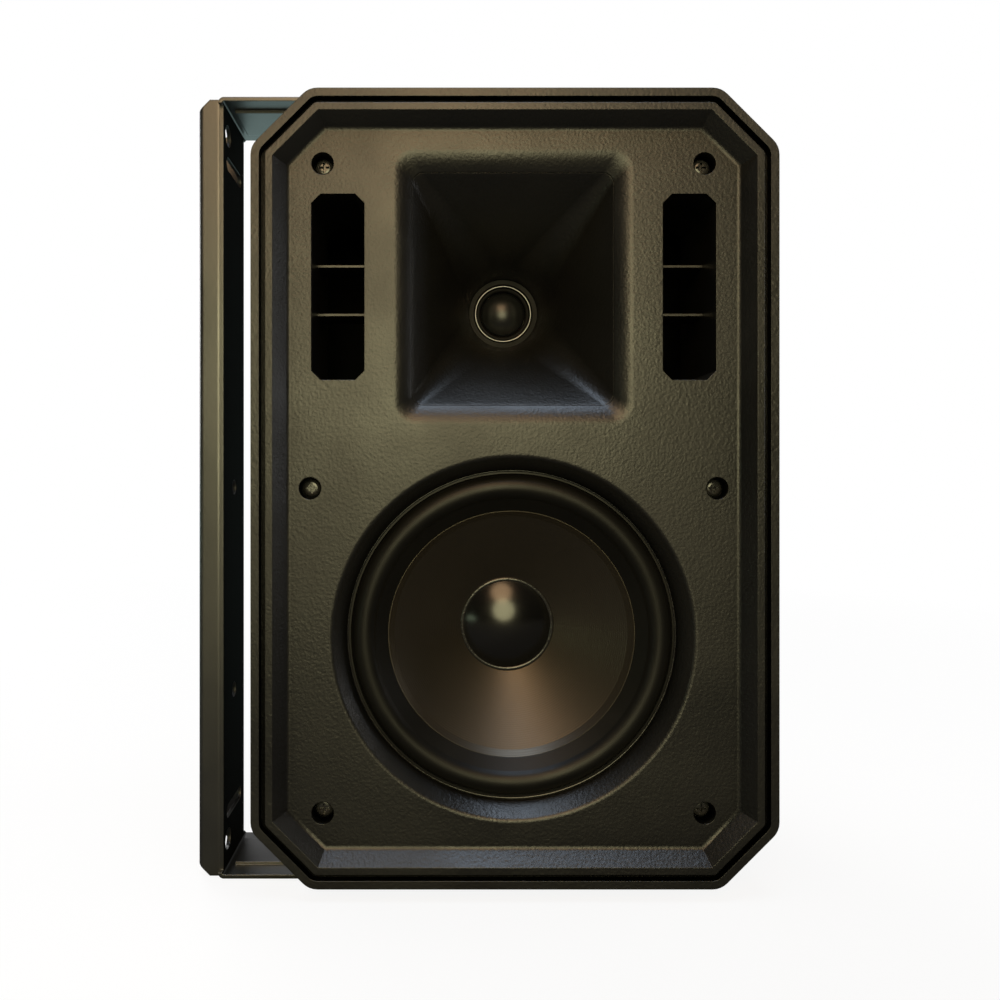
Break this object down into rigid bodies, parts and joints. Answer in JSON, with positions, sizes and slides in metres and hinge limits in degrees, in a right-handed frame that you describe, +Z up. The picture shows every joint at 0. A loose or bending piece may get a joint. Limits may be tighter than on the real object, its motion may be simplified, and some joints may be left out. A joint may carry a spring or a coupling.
{
  "type": "loudspeaker",
  "caption": "Two-way wall loudspeaker: grooved eight-sided front frame, square horn with a dome, tall port slots, large cone, curved cabinet, turning in a sheet-steel U-bracket.",
  "frame": {"origin": "midway between the bracket's two round screw holes, on the spine's face that looks at the cabinet", "axes": "+Z up along the spine, +X from the wall out through the spine to the cabinet, -Y the way the loudspeaker faces as pictured, side-on to the wall"},
  "size_m": [0.287, 0.1838, 0.4088],
  "materials": {
    "bracket_steel": "satin",
    "zinc_steel": "satin",
    "black_screw": "semi-gloss",
    "brass": "satin",
    "copper": "satin",
    "moulded_black": "fine grain",
    "duct_black": "matt",
    "foam": "matt",
    "rubber_black": "satin",
    "cone_black": "satin",
    "cap_black": "gloss",
    "dome_dark": "semi-gloss",
    "former_tan": "satin",
    "spider_cloth": "woven",
    "ferrite": "matt",
    "board_green": "satin",
    "capacitor_film": "gloss",
    "resistor_cement": "matt",
    "felt": "fibrous",
    "lever_red": "semi-gloss",
    "lever_black": "semi-gloss"
  },
  "bodies": {
    "bracket": {"bracket": "bracket_steel"},
    "cabinet": {"pivot_bolts": "black_screw", "pivot_washers": "zinc_steel", "pivot_shims": "zinc_steel", "pivot_spacers": "rubber_black", "pivot_inserts": "brass", "cabinet_shell": "moulded_black", "cabinet_gasket": "foam", "front_baffle": "moulded_black", "horn_flare": "moulded_black", "baffle_screws": "black_screw", "port_duct_left": "duct_black", "port_duct_right": "duct_black", "woofer_gasket": "foam", "woofer_frame": "bracket_steel", "woofer_surround": "rubber_black", "woofer_spider": "spider_cloth", "woofer_top_plate": "zinc_steel", "woofer_magnet": "ferrite", "woofer_back_plate": "zinc_steel", "woofer_tags": "brass", "woofer_screws": "black_screw", "tweeter_faceplate": "duct_black", "tweeter_surround": "rubber_black", "tweeter_top_plate": "zinc_steel", "tweeter_magnet": "ferrite", "tweeter_back_plate": "zinc_steel", "tweeter_screws": "black_screw", "terminal_cup": "moulded_black", "terminal_gasket": "foam", "terminal_contacts": "brass", "terminal_screws": "black_screw", "crossover_board": "board_green", "inductor_large": "copper", "inductor_small": "copper", "capacitors": "capacitor_film", "resistor": "resistor_cement", "board_screws": "zinc_steel", "damping_sheet": "felt"},
    "woofer_moving": {"woofer_cone": "cone_black", "woofer_dust_cap": "cap_black", "woofer_former": "former_tan", "woofer_coil": "copper"},
    "tweeter_moving": {"tweeter_dome": "dome_dark", "tweeter_coil": "copper"},
    "lever_red": {"terminal_lever_red": "lever_red"},
    "lever_black": {"terminal_lever_black": "lever_black"}
  },
  "joints": [
    {"name": "cabinet_turn", "type": "hinge", "parent": "bracket", "child": "cabinet", "pos_m": [0.147, 0, 0.0545], "axis": [0, 0, 1], "continuous": true},
    {"name": "woofer_travel", "type": "slide", "parent": "cabinet", "child": "woofer_moving", "axis": [0, 1, 0], "range_m": [-0.004, 0.004], "stiffness_N_per_m": 1200, "deforming": ["woofer_surround", "woofer_spider"]},
    {"name": "tweeter_travel", "type": "slide", "parent": "cabinet", "child": "tweeter_moving", "axis": [0, 1, 0], "range_m": [-0.0003, 0.0003], "stiffness_N_per_m": 150, "deforming": ["tweeter_surround"]},
    {"name": "lever_red_press", "type": "hinge", "parent": "cabinet", "child": "lever_red", "pos_m": [0.161, 0.118, 0.0365], "axis": [-1, 0, 0], "range_deg": [0, 18], "stiffness_Nm_per_rad": 0.05},
    {"name": "lever_black_press", "type": "hinge", "parent": "cabinet", "child": "lever_black", "pos_m": [0.133, 0.118, 0.0365], "axis": [-1, 0, 0], "range_deg": [0, 18], "stiffness_Nm_per_rad": 0.05}
  ]
}
